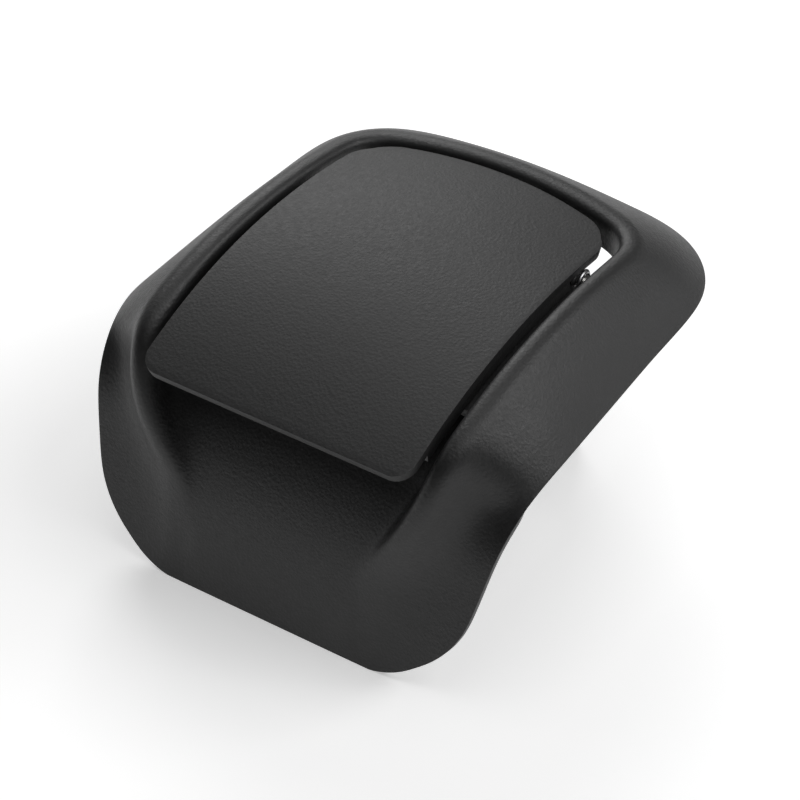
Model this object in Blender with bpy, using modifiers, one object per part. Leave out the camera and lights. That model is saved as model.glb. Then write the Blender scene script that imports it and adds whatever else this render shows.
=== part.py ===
"""Seat tilt handle: a moulded housing that wraps over a seat's edge, with a sprung flap that is lifted by hand.

X is the handle's width, +Y runs back from the front lip to the hinge, and Z is up. All lengths are in metres.
"""

import math

import bmesh
import bpy
from mathutils import Matrix, Vector

# Flap
FLAP_HALF_WIDTH = 0.0300
FLAP_TAPER = 0.00104
FLAP_REAR_HALF_WIDTH = FLAP_HALF_WIDTH - FLAP_TAPER
FLAP_FREE_Y = 0.00288
FLAP_HINGE_Y = 0.08584
FLAP_HINGE_RADIUS = 0.0832
FLAP_WALL = 0.00208
FLAP_ARCH_RADIUS = 0.1220
FLAP_CREST_Y = 0.05136
FLAP_CREST_Z = 0.05944
FLAP_CROWN = 0.00216
FLAP_SIDE_BULGE = 0.00032
FLAP_FREE_CORNER = 0.0040
FLAP_HINGE_CORNER = 0.00744
FLAP_EDGE_ROUND = 0.00088

# Spine of the housing: the side view of its rim, from the foot of the front lip to the back
LIP_LENGTH = 0.03064
LIP_ANGLE = math.radians(74)
BEND_RADIUS = 0.0200
BACK_ANGLE = math.radians(-1.5)

# Plan of the rim
FLANK_REACH = 0.01888
RIM_HALF_WIDTH = FLAP_HALF_WIDTH + FLANK_REACH
LIP_NARROWING = 0.01008
LIP_FOOT_HALF_WIDTH = RIM_HALF_WIDTH - LIP_NARROWING
LIP_FLARE_LENGTH = 0.0552
LIP_FLARE_POWER = 1.15
RIM_TAPER = 0.0020
RIM_TAPER_START = 0.0480
LIP_CORNER_RADIUS = 0.01776
RIM_CORNER_RADIUS = 0.0244
RIM_REAR_Y = 0.10584
RIM_REAR_RADIUS = 0.2280

# Skin of the housing
SKIN = 0.00144
FLAP_GAP = 0.00208
EDGE_RISE = 0.00032
EDGE_WIDTH = 0.00368
WELL_DEPTH = 0.00696
ROLL_SHARE = 0.5
FOOT_TRIM = 0.00024

# Finger scoop and shoulders, as distances along the spine
SCOOP_FOOT = 0.0176
SCOOP_NARROWING = 0.0092
SCOOP_FOOT_HALF_WIDTH = FLAP_HALF_WIDTH - SCOOP_NARROWING
SCOOP_WALL_DRAFT = 0.0032
SCOOP_BACK = 0.0564
RIDGE_FRONT = 0.0464
RIDGE_END = 0.0464
SHOULDER_FRONT = 0.0416
SHOULDER_BACK = 0.0476
SHOULDER_HOLLOW = 3.4
BACK_HOLLOW = 0.87
LIP_CROWN = 0.00208

# Share of the full ridge height that the ridge has reached at each share of the way to its end
RIDGE_RISE = ((0, 0), (0.25, 0.08), (0.48, 0.22), (0.69, 0.44), (0.79, 0.62), (0.86, 0.78), (0.92, 0.92), (1, 1))
# Height of the scoop's floor, as a share of the lip's crown, at each share of the way to the scoop's back
FLOOR_RISE = ((0, 0), (0.15, 0.6), (0.3, 0.95), (0.4, 1), (0.5, 0.8), (0.6, 0.35), (0.72, 0.2), (0.8, 0.7))

SIDE_STATIONS = (0, 4, 9.6, 16, 21.6, 26.4, 30.8, 34.4, 37.6, 40.4, 43.2, 45.6, 48.4, 52, 56.4, 63.2, 73.6, 84.8, 95.2)
STATION_UNIT = 0.001
CORNER_STATIONS = 4
REAR_STATIONS = 3
FLANK_SHARES = (0, 0.3, 0.6, 0.85)
ROLL_COLUMNS = (len(FLANK_SHARES), len(FLANK_SHARES) + 1)
PANEL_COLUMNS = 3
FLAP_COLUMNS = 9
FLAP_ROWS = 17

# Clearance between pieces that lie on each other, and between the pin and its bores
FIT = 0.0003

# Hinge under the rear of the flap
HINGE_Y = 0.0680
HINGE_DROP = 0.0072
PIN_RADIUS = 0.0016
PIN_REACH = 0.00064
PIN_END_X = FLAP_HALF_WIDTH + PIN_REACH
PIN_HEAD_RADIUS = 0.00272
PIN_HEAD_LENGTH = 0.00096
PIN_CHAMFER = 0.00032
KNUCKLE_RADIUS = 0.0036
KNUCKLE_WIDTH = 0.0028
KNUCKLE_INSET = 0.00736
KNUCKLE_X = FLAP_HALF_WIDTH - KNUCKLE_INSET
LUG_RADIUS = 0.0032
LUG_WIDTH = 0.0028
LUG_GAP = 0.00064
LUG_X = KNUCKLE_X - LUG_GAP - LUG_WIDTH
LUG_SLOT = 0.00288

# Return spring, at the right end of the pin
WIRE_RADIUS = 0.00048
COIL_RADIUS = 0.00244
COIL_PITCH = 0.0012
COIL_TURNS = 2
COIL_GAP = 0.00096
COIL_X = KNUCKLE_X + KNUCKLE_WIDTH + COIL_GAP
SPRING_FLAP_REACH = 0.0096
SPRING_BEAM_REACH = 0.0072

# Arm that pulls the cable, moulded on the flap
ARM_INNER_X = 0.0028
ARM_WALL = 0.0020
ARM_LENGTH = 0.0208
ARM_TIP_RADIUS = 0.0044
ARM_FRONT = 0.0120
ARM_REAR = 0.00464
NIPPLE_RADIUS = 0.00264
NIPPLE_SLOT = 0.00448
ARM_WEB_TOP = 0.0032
ARM_WEB_HEIGHT = 0.0144

# Ribs under the flap
FLAP_RIB_INSET = 0.0096
FLAP_RIB_X = FLAP_HALF_WIDTH - FLAP_RIB_INSET
FLAP_RIB_WIDTH = 0.0012
FLAP_RIB_DEPTH = 0.0028
FLAP_RIB_FRONT = 0.0128
FLAP_RIB_REAR = 0.0608
FLAP_CROSS_RIB_Y = 0.0112
FLAP_CROSS_RIB_INSET = 0.0060
FLAP_CROSS_RIB_HALF = FLAP_HALF_WIDTH - FLAP_CROSS_RIB_INSET

# Skirts along the flap's sides, which close the gap beside it
SKIRT_FRONT = 0.0112
SKIRT_REAR = 0.0632
SKIRT_DEPTH = 0.00224
SKIRT_INSET = 0.00032
SKIRT_WIDTH = 0.0012

# Ledges on which the skirts of the closed flap rest
LEDGE_FRONT = 0.0240
LEDGE_REAR = 0.0648
LEDGE_REACH = 0.0020
LEDGE_DEPTH = 0.0016

# Frame inside the housing: cross beam, side plates, legs and the seat of the cable's bracket
BEAM_FRONT = 0.0672
BEAM_REAR = 0.0784
BEAM_LOW = 0.0376
BEAM_TOP = 0.0396
SIDE_PLATE_GAP = 0.00152
SIDE_PLATE_X = FLAP_HALF_WIDTH + SIDE_PLATE_GAP
SIDE_PLATE_WIDTH = 0.00184
SIDE_PLATE_REAR = 0.0760
SIDE_PLATE_TOP = 0.0520
ARM_NOTCH_HALF = 0.0072
ARM_NOTCH_REAR = 0.07328
LEG_INNER_X = 0.0144
LEG_OUTER_X = 0.0240
LEG_FRONT = 0.0688
LEG_WALL = 0.0016
CHANNEL_LOW = 0.0048
CHANNEL_TOP = 0.0320
CATCH_REACH = 0.00192
CATCH_LOW = 0.0028
CATCH_TOP = 0.0072
SEAT_HALF_WIDTH = 0.0152
SEAT_FRONT = 0.0752
SEAT_WALL = 0.0020
SEAT_LOW = 0.0208
SEAT_SLOT_HALF = 0.0028

# Gussets under the flanks
GUSSET_PLACES = (0.0400, 0.0528, 0.0640)
GUSSET_WIDTH = 0.00128
GUSSET_RIM_GAP = 0.00328
GUSSET_OUTER_X = RIM_HALF_WIDTH - GUSSET_RIM_GAP
GUSSET_DEPTH = 0.0036


def smooth(share):
    """Eases from 0 to 1."""
    share = min(max(share, 0.0), 1.0)
    return share * share * (3 - 2 * share)


def keyed(share, keys):
    """Reads a curve that is given by a few points, straight between them."""
    for (left, low), (right, high) in zip(keys, keys[1:]):
        if share <= right:
            return low + (high - low) * (share - left) / (right - left)
    return keys[-1][1]


def spine(s):
    """Place and slope of the rim's side view at a distance s from the foot of the lip: y, z, angle."""
    straight = min(s, LIP_LENGTH)
    y = straight * math.cos(LIP_ANGLE)
    z = straight * math.sin(LIP_ANGLE)
    bend = min(max(s - LIP_LENGTH, 0.0) / BEND_RADIUS, LIP_ANGLE - BACK_ANGLE)
    angle = LIP_ANGLE - bend
    y += BEND_RADIUS * (math.sin(LIP_ANGLE) - math.sin(angle))
    z += BEND_RADIUS * (math.cos(angle) - math.cos(LIP_ANGLE))
    rest = max(s - LIP_LENGTH - BEND_RADIUS * (LIP_ANGLE - BACK_ANGLE), 0.0)
    return y + rest * math.cos(BACK_ANGLE), z + rest * math.sin(BACK_ANGLE), angle


def rim_height(y):
    """Height of the rim at a place y on its flat back part."""
    bend_end = LIP_LENGTH + BEND_RADIUS * (LIP_ANGLE - BACK_ANGLE)
    start_y, start_z, angle = spine(bend_end)
    return start_z + (y - start_y) * math.tan(angle)


def flap_top(x, y):
    """Height of the flap's upper face."""
    reach = y - FLAP_CREST_Y
    arch = FLAP_CREST_Z - FLAP_ARCH_RADIUS + math.sqrt(FLAP_ARCH_RADIUS**2 - reach**2)
    along = smooth((y - FLAP_FREE_Y) / (FLAP_HINGE_Y - FLAP_FREE_Y))
    return arch - FLAP_CROWN * along * (x / FLAP_HALF_WIDTH) ** 2


def rim_half_width(s):
    """Half width of the rim at a distance s along the spine."""
    left = max(1 - s / LIP_FLARE_LENGTH, 0.0)
    taper = RIM_TAPER * max(s / RIM_TAPER_START - 1, 0.0)
    return RIM_HALF_WIDTH - taper - (RIM_HALF_WIDTH - LIP_FOOT_HALF_WIDTH) * left**LIP_FLARE_POWER


def rear_corner(half_width, corner_radius, rear_y, rear_radius):
    """Where a plan outline's rear corner starts, and the angle that it turns through."""
    reach = rear_radius - corner_radius
    corner_x = half_width - corner_radius
    return rear_y - rear_radius + math.sqrt(reach**2 - corner_x**2), math.acos(corner_x / reach)


def flap_half_width(y):
    """Half width of the flap at a place y: its sides close in towards the hinge, and bulge a little on the way."""
    corner_y, _ = rear_corner(FLAP_REAR_HALF_WIDTH, FLAP_HINGE_CORNER, FLAP_HINGE_Y, FLAP_HINGE_RADIUS)
    share = min(max((y - FLAP_FREE_Y) / (corner_y - FLAP_FREE_Y), 0.0), 1.0)
    return FLAP_HALF_WIDTH - FLAP_TAPER * share + FLAP_SIDE_BULGE * math.sin(math.pi * share)


def opening_x(y):
    """Half width of the opening that the flap closes."""
    return flap_half_width(y) + FLAP_GAP


def ridge_x(s):
    """Inner face of the ridge beside the flap, which closes in down the lip as the scoop's side."""
    y, _, _ = spine(s)
    share = smooth((s - SCOOP_FOOT) / (RIDGE_FRONT - SCOOP_FOOT))
    return SCOOP_FOOT_HALF_WIDTH + (opening_x(y) - SCOOP_FOOT_HALF_WIDTH) * share


def height_at_flap(s, rise):
    """Height over the spine at which the ridge stands a given rise above the flap's face."""
    y, z, angle = spine(s)
    height = FLAP_CREST_Z - z
    for _ in range(8):
        target = flap_top(opening_x(y), y - math.sin(angle) * height) + rise
        height = (target - z) / math.cos(angle)
    return height


def ridge_height(s):
    """Height of the ridge over the spine."""
    if s >= RIDGE_END:
        return height_at_flap(s, EDGE_RISE)
    return height_at_flap(RIDGE_END, EDGE_RISE) * keyed(s / RIDGE_END, RIDGE_RISE)


def foot_height(s):
    """Height over the spine of the well wall's foot, which is the scoop's floor in front."""
    ledge = ridge_height(s) - WELL_DEPTH
    if s >= SCOOP_BACK:
        return ledge
    last_share = FLOOR_RISE[-1][0]
    share = s / SCOOP_BACK
    floor = LIP_CROWN * keyed(share, FLOOR_RISE)
    if share <= last_share:
        return floor
    return floor + (ledge - floor) * ((share - last_share) / (1 - last_share)) ** 1.5


def hollow(s):
    """How hollow the flank is between ridge and rim: 1 is a straight slope, more sags and less bulges."""
    share = smooth((s - SHOULDER_FRONT) / (SHOULDER_BACK - SHOULDER_FRONT))
    return SHOULDER_HOLLOW + (BACK_HOLLOW - SHOULDER_HOLLOW) * share


def rounded_corner(p, q, radius):
    """Carries a point near a square corner to its place near a round one: p and q are its distances in."""
    if p >= radius or q >= radius:
        return p, q
    eighth = math.pi / 4

    def along(distance):
        turn = eighth * (1 + distance / radius)
        return radius * (1 - math.cos(turn)), radius * (1 - math.sin(turn))

    low_p, low_q = along(p)
    side_q, side_p = along(q)
    corner = radius * (1 - math.cos(eighth))
    near_p = 1 - p / radius
    near_q = 1 - q / radius
    moved_p = p + near_q * (low_p - p) + near_p * side_p - near_p * near_q * corner
    moved_q = q + near_q * low_q + near_p * (side_q - q) - near_p * near_q * corner
    return moved_p, moved_q


def side_station(s):
    """One section of the skin beside the flap, from the rim in to the foot of the well wall."""
    edge = rim_half_width(s)
    inner = ridge_x(s)
    outer = inner + EDGE_WIDTH
    top = ridge_height(s)
    foot = foot_height(s)
    draft = SCOOP_WALL_DRAFT * (1 - smooth((s - RIDGE_END) / (SCOOP_BACK - RIDGE_END)))
    profile = [(edge - share * (edge - outer), top * share ** hollow(s)) for share in FLANK_SHARES]
    profile += [(outer, top), (inner, top)]
    profile += [(inner - draft / 2, (top + foot) / 2), (inner - draft, foot)]
    return [skin_point(x, height, s) for x, height in profile]


def skin_point(x, height, s):
    """A point of the skin at a half width x and a height over the spine."""
    edge = rim_half_width(s)
    inset, along = rounded_corner(edge - x, s, LIP_CORNER_RADIUS)
    y, z, angle = spine(along)
    return Vector((edge - inset, y - math.sin(angle) * height, z + math.cos(angle) * height))


def rear_track(half_width, corner_radius, rear_y, rear_radius, share):
    """A point and outward direction on a plan outline, from the end of its side to the middle of its rear."""
    arc_y = rear_y - rear_radius
    corner_x = half_width - corner_radius
    corner_y, corner_turn = rear_corner(half_width, corner_radius, rear_y, rear_radius)
    corner_share = CORNER_STATIONS / (CORNER_STATIONS + REAR_STATIONS)
    if share <= corner_share:
        turn = corner_turn * share / corner_share
        outward = Vector((math.cos(turn), math.sin(turn), 0))
        return Vector((corner_x, corner_y, 0)) + corner_radius * outward, outward
    turn = corner_turn + (math.pi / 2 - corner_turn) * (share - corner_share) / (1 - corner_share)
    outward = Vector((math.cos(turn), math.sin(turn), 0))
    return Vector((0, arc_y, 0)) + rear_radius * outward, outward


def rear_station(share):
    """One section of the skin round the hinge end, from the rim in to the foot of the well wall."""
    flap_sizes = (FLAP_REAR_HALF_WIDTH, FLAP_HINGE_CORNER, FLAP_HINGE_Y, FLAP_HINGE_RADIUS)
    opening = [size + FLAP_GAP for size in flap_sizes]
    inner, outward = rear_track(*opening, share)
    edge, _ = rear_track(RIM_HALF_WIDTH - RIM_TAPER, RIM_CORNER_RADIUS, RIM_REAR_Y, RIM_REAR_RADIUS, share)
    outer = inner + EDGE_WIDTH * outward
    top = flap_top(inner.x, inner.y) + EDGE_RISE
    points = []
    for part in FLANK_SHARES:
        place = edge.lerp(outer, part)
        low = rim_height(place.y)
        points.append(Vector((place.x, place.y, low + (top - low) * part**BACK_HOLLOW)))
    points.append(Vector((outer.x, outer.y, top)))
    points += [Vector((inner.x, inner.y, top - drop)) for drop in (0, WELL_DEPTH / 2, WELL_DEPTH)]
    return points


def skin_cage():
    """Half of the housing's outer face, as a cage of sections, with the scoop's panel between its two sides."""
    stations = [side_station(s * STATION_UNIT) for s in SIDE_STATIONS]
    steps = CORNER_STATIONS + REAR_STATIONS
    stations += [rear_station(step / steps) for step in range(steps + 1)]
    cage = bmesh.new()
    shares = cage.verts.layers.deform.verify()
    rows = []
    for station in stations:
        row = [cage.verts.new(point) for point in station]
        for column, vertex in enumerate(row):
            vertex[shares][0] = ROLL_SHARE if column in ROLL_COLUMNS else 1
        rows.append(row)
    for row, following in zip(rows, rows[1:]):
        for column in range(len(row) - 1):
            cage.faces.new((row[column], following[column], following[column + 1], row[column + 1]))
    panel = []
    for row, s in zip(rows, SIDE_STATIONS):
        if s * STATION_UNIT > SCOOP_BACK + FIT:
            break
        foot = row[-1]
        line = [foot]
        for column in range(1, PANEL_COLUMNS + 1):
            place = foot.co.copy()
            place.x *= 1 - column / PANEL_COLUMNS
            inward = cage.verts.new(place)
            inward[shares][0] = 1
            line.append(inward)
        panel.append(line)
    for row, following in zip(panel, panel[1:]):
        for column in range(PANEL_COLUMNS):
            cage.faces.new((row[column], following[column], following[column + 1], row[column + 1]))
    bmesh.ops.recalc_face_normals(cage, faces=cage.faces)
    return cage


def flap_cage(columns, rows):
    """Half of the flap's upper face: a flat outline with round corners, lifted on to the arch."""
    cage = bmesh.new()
    grid = []
    for row in range(rows):
        line = []
        for column in range(columns):
            across = FLAP_HALF_WIDTH * column / (columns - 1)
            sagitta = FLAP_HINGE_RADIUS - math.sqrt(FLAP_HINGE_RADIUS**2 - across**2)
            length = FLAP_HINGE_Y - sagitta - FLAP_FREE_Y
            inset = FLAP_HALF_WIDTH - across
            ahead = length * row / (rows - 1)
            inset, ahead = rounded_corner(inset, ahead, FLAP_FREE_CORNER)
            inset, behind = rounded_corner(inset, length - ahead, FLAP_HINGE_CORNER)
            y = FLAP_FREE_Y + length - behind
            x = (FLAP_HALF_WIDTH - inset) * flap_half_width(y) / FLAP_HALF_WIDTH
            line.append(cage.verts.new((x, y, flap_top(x, y))))
        grid.append(line)
    for row, following in zip(grid, grid[1:]):
        for column in range(columns - 1):
            cage.faces.new((row[column], row[column + 1], following[column + 1], following[column]))
    return cage


def add_mesh(name, built, origin, home, root):
    """Puts a built mesh in the scene with its origin at a given place, and returns its object."""
    bmesh.ops.translate(built, verts=built.verts, vec=-origin)
    mesh = bpy.data.meshes.new(name)
    built.to_mesh(mesh)
    built.free()
    made = bpy.data.objects.new(name, mesh)
    made.location = origin
    made.parent = root
    home.objects.link(made)
    return made


def mirrored(made):
    """Adds the other half across the middle plane."""
    mirror = made.modifiers.new("mirror", "MIRROR")
    mirror.merge_threshold = 0.00005
    return made


def thickened(made, thickness):
    """Gives a skin its thickness, inward."""
    wall = made.modifiers.new("wall", "SOLIDIFY")
    wall.thickness = thickness
    wall.offset = -1
    wall.use_even_offset = True


def joined(made, tool, operation):
    """Adds a tool to a body, or cuts it out."""
    step = made.modifiers.new(tool.name, "BOOLEAN")
    step.operation = operation
    step.solver = "EXACT"
    step.object = tool


def arc(centre, radius, start, end, steps):
    """Points on a circle, from one angle in degrees to another."""
    points = []
    for step in range(steps + 1):
        turn = math.radians(start + (end - start) * step / steps)
        points.append((centre[0] + radius * math.cos(turn), centre[1] + radius * math.sin(turn)))
    return points


class Workshop:
    """Makes the tools that shape one body: each is a hidden object under the same root."""

    def __init__(self, home, root):
        self.home = home
        self.root = root

    def keep(self, name, built):
        """Puts a tool in its collection."""
        tool = add_mesh(name, built, Vector((0, 0, 0)), self.home, self.root)
        tool.hide_render = True
        tool.display_type = "WIRE"
        return tool

    def box(self, name, low, high):
        """A block between two corners."""
        built = bmesh.new()
        bmesh.ops.create_cube(built, size=1)
        low = Vector(low)
        high = Vector(high)
        size = high - low
        bmesh.ops.scale(built, verts=built.verts, vec=size)
        bmesh.ops.translate(built, verts=built.verts, vec=(low + high) / 2)
        return self.keep(name, built)

    def plate(self, name, outline, low, high, axis):
        """A flat plate: an outline across the X or Y axis, from low to high along it."""
        curve = bpy.data.curves.new(name, "CURVE")
        curve.dimensions = "2D"
        curve.fill_mode = "BOTH"
        curve.extrude = (high - low) / 2
        line = curve.splines.new("POLY")
        line.points.add(len(outline) - 1)
        for point, (across, up) in zip(line.points, outline):
            point.co = (across, up, 0, 1)
        line.use_cyclic_u = True
        drawn = bpy.data.objects.new(name + "_outline", curve)
        self.home.objects.link(drawn)
        bpy.context.view_layer.update()
        flat = bpy.data.meshes.new_from_object(drawn.evaluated_get(bpy.context.evaluated_depsgraph_get()))
        bpy.data.objects.remove(drawn)
        bpy.data.curves.remove(curve)
        built = bmesh.new()
        built.from_mesh(flat)
        bpy.data.meshes.remove(flat)
        bmesh.ops.remove_doubles(built, verts=built.verts, dist=0.00001)
        middle = (low + high) / 2
        if axis == "x":
            turn = Matrix(((0, 0, 1, middle), (1, 0, 0, 0), (0, 1, 0, 0), (0, 0, 0, 1)))
        else:
            turn = Matrix(((1, 0, 0, 0), (0, 0, -1, middle), (0, 1, 0, 0), (0, 0, 0, 1)))
        bmesh.ops.transform(built, matrix=turn, verts=built.verts)
        bmesh.ops.recalc_face_normals(built, faces=built.faces)
        return self.keep(name, built)

    def rod(self, name, centre, radius, low, high):
        """A round bar along X, between two places."""
        built = bmesh.new()
        bmesh.ops.create_cone(
            built, cap_ends=True, segments=24, radius1=radius, radius2=radius, depth=high - low
        )
        place = Matrix.Translation(((low + high) / 2, centre[0], centre[1]))
        bmesh.ops.transform(built, matrix=place @ Matrix.Rotation(math.pi / 2, 4, "Y"), verts=built.verts)
        return self.keep(name, built)

    def bar(self, name, front, rear, steps, section):
        """A bar along the flap's side: four-sided sections that follow the arch and the flap's bulge."""
        built = bmesh.new()
        rows = []
        for step in range(steps + 1):
            y = front + (rear - front) * step / steps
            inner, outer, low, top = section(y)
            corners = ((inner, low), (outer, low), (outer, top), (inner, top))
            rows.append([built.verts.new((x, y, z)) for x, z in corners])
        for row, following in zip(rows, rows[1:]):
            for side in range(4):
                after = (side + 1) % 4
                built.faces.new((row[side], row[after], following[after], following[side]))
        built.faces.new(rows[0][::-1])
        built.faces.new(rows[-1])
        bmesh.ops.recalc_face_normals(built, faces=built.faces)
        return self.keep(name, built)


def hinge_centre():
    """Where the pin's axis passes, as y and z."""
    return HINGE_Y, flap_top(0, HINGE_Y) - HINGE_DROP


def cable_height():
    """Height at which the cable pulls the arm."""
    return hinge_centre()[1] - ARM_LENGTH


def flap_underside(x, y):
    """Height of the flap's lower face."""
    step = 0.0004
    slope = math.atan((flap_top(x, y + step) - flap_top(x, y - step)) / (2 * step))
    return flap_top(x, y) - FLAP_WALL / math.cos(slope)


def skirt_section(y):
    """The skirt's inner and outer half width, and its low and high edge, at a place y."""
    outer = flap_half_width(y) - SKIRT_INSET
    under = flap_underside(outer, y)
    return outer - SKIRT_WIDTH, outer, under - SKIRT_DEPTH, under + FLAP_WALL / 2


def ledge_section(y):
    """The ledge's inner and outer half width, and its low and high edge, at a place y."""
    _, _, skirt_low, _ = skirt_section(y)
    top = skirt_low - FIT
    return flap_half_width(y) - LEDGE_REACH, opening_x(y) + SKIN / 2, top - LEDGE_DEPTH, top


def arch_line(x, start, end, drop, steps):
    """Points along the flap's arch, a given drop below its upper face."""
    points = []
    for step in range(steps + 1):
        y = start + (end - start) * step / steps
        points.append((y, flap_top(x, y) - drop))
    return points


def build_flap(plastic, home, tools, root):
    """The flap, with its ribs, hinge knuckles and the arm for the cable."""
    centre = hinge_centre()
    origin = Vector((0, centre[0], centre[1]))
    flap = mirrored(add_mesh("flap", flap_cage(FLAP_COLUMNS, FLAP_ROWS), origin, home, root))
    flap.data.materials.append(plastic)
    thickened(flap, FLAP_WALL)
    rounding = flap.modifiers.new("rounding", "BEVEL")
    rounding.width = FLAP_EDGE_ROUND
    rounding.segments = 2
    rounding.limit_method = "ANGLE"
    rounding.angle_limit = math.radians(50)

    shop = Workshop(tools, root)
    embed = FLAP_WALL / 2
    low = FLAP_WALL + FLAP_RIB_DEPTH
    outline = arch_line(FLAP_RIB_X, FLAP_RIB_FRONT, FLAP_RIB_REAR, embed, 12)
    outline += arch_line(FLAP_RIB_X, FLAP_RIB_REAR, FLAP_RIB_FRONT, low, 12)
    half = FLAP_RIB_WIDTH / 2
    joined(flap, mirrored(shop.plate("flap_rib", outline, FLAP_RIB_X - half, FLAP_RIB_X + half, "x")), "UNION")

    top = flap_top(0, FLAP_CROSS_RIB_Y) - embed
    bottom = top - embed - FLAP_RIB_DEPTH
    outline = [(-FLAP_CROSS_RIB_HALF, bottom), (FLAP_CROSS_RIB_HALF, bottom)]
    outline += [(FLAP_CROSS_RIB_HALF, top), (-FLAP_CROSS_RIB_HALF, top)]
    cross = shop.plate("flap_cross_rib", outline, FLAP_CROSS_RIB_Y - half, FLAP_CROSS_RIB_Y + half, "y")
    joined(flap, cross, "UNION")

    skirt = shop.bar("flap_skirt", SKIRT_FRONT, SKIRT_REAR, 12, skirt_section)
    joined(flap, mirrored(skirt), "UNION")

    outer = KNUCKLE_X + KNUCKLE_WIDTH
    outline = arc(centre, KNUCKLE_RADIUS, 180, 360, 12)
    outline += arch_line(outer, HINGE_Y + KNUCKLE_RADIUS, HINGE_Y - KNUCKLE_RADIUS, embed, 2)
    joined(flap, mirrored(shop.plate("flap_knuckle", outline, KNUCKLE_X, outer, "x")), "UNION")

    hook = (HINGE_Y, cable_height())
    outline = arc(hook, ARM_TIP_RADIUS, 180, 360, 14)
    outline += arch_line(0, HINGE_Y + ARM_REAR, HINGE_Y - ARM_FRONT, embed, 6)
    arm = shop.plate("flap_arm", outline, ARM_INNER_X, ARM_INNER_X + ARM_WALL, "x")
    joined(flap, mirrored(arm), "UNION")
    web_top = flap_underside(0, HINGE_Y - ARM_TIP_RADIUS) - ARM_WEB_TOP
    web_y = HINGE_Y - ARM_TIP_RADIUS
    web_x = ARM_INNER_X + ARM_WALL / 2
    corner = (web_x, web_y + ARM_WALL, web_top)
    joined(flap, shop.box("flap_arm_web", (-web_x, web_y + ARM_WALL / 4, web_top - ARM_WEB_HEIGHT), corner), "UNION")

    end = FLAP_HALF_WIDTH
    joined(flap, shop.rod("flap_pin_bore", centre, PIN_RADIUS + FIT, -end, end), "DIFFERENCE")
    joined(flap, shop.rod("flap_nipple_bore", hook, NIPPLE_RADIUS, -ARM_FRONT, ARM_FRONT), "DIFFERENCE")
    low_corner = (-ARM_FRONT, HINGE_Y - 2 * ARM_TIP_RADIUS, hook[1] - NIPPLE_SLOT / 2)
    high_corner = (ARM_FRONT, HINGE_Y, hook[1] + NIPPLE_SLOT / 2)
    joined(flap, shop.box("flap_nipple_slot", low_corner, high_corner), "DIFFERENCE")
    return flap


def gusset_outline(y):
    """A gusset's outline under the flank at a place y, as x and z: its top lies inside the skin."""
    bend_end = LIP_LENGTH + BEND_RADIUS * (LIP_ANGLE - BACK_ANGLE)
    s = bend_end + (y - spine(bend_end)[0])
    wall = opening_x(y) + SKIN / 3
    inner = ridge_x(s) + EDGE_WIDTH
    edge = rim_half_width(s)
    top = ridge_height(s)
    upper = []
    for x in (GUSSET_OUTER_X, (inner + GUSSET_OUTER_X) / 2, inner):
        share = (edge - x) / (edge - inner)
        upper.append((x, rim_height(y) + top * share ** hollow(s) - SKIN * 0.7))
    upper.append((wall, upper[-1][1] - SKIN))
    return upper + [(wall, upper[-1][1] - GUSSET_DEPTH), (GUSSET_OUTER_X, upper[0][1] - SKIN)]


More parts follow.
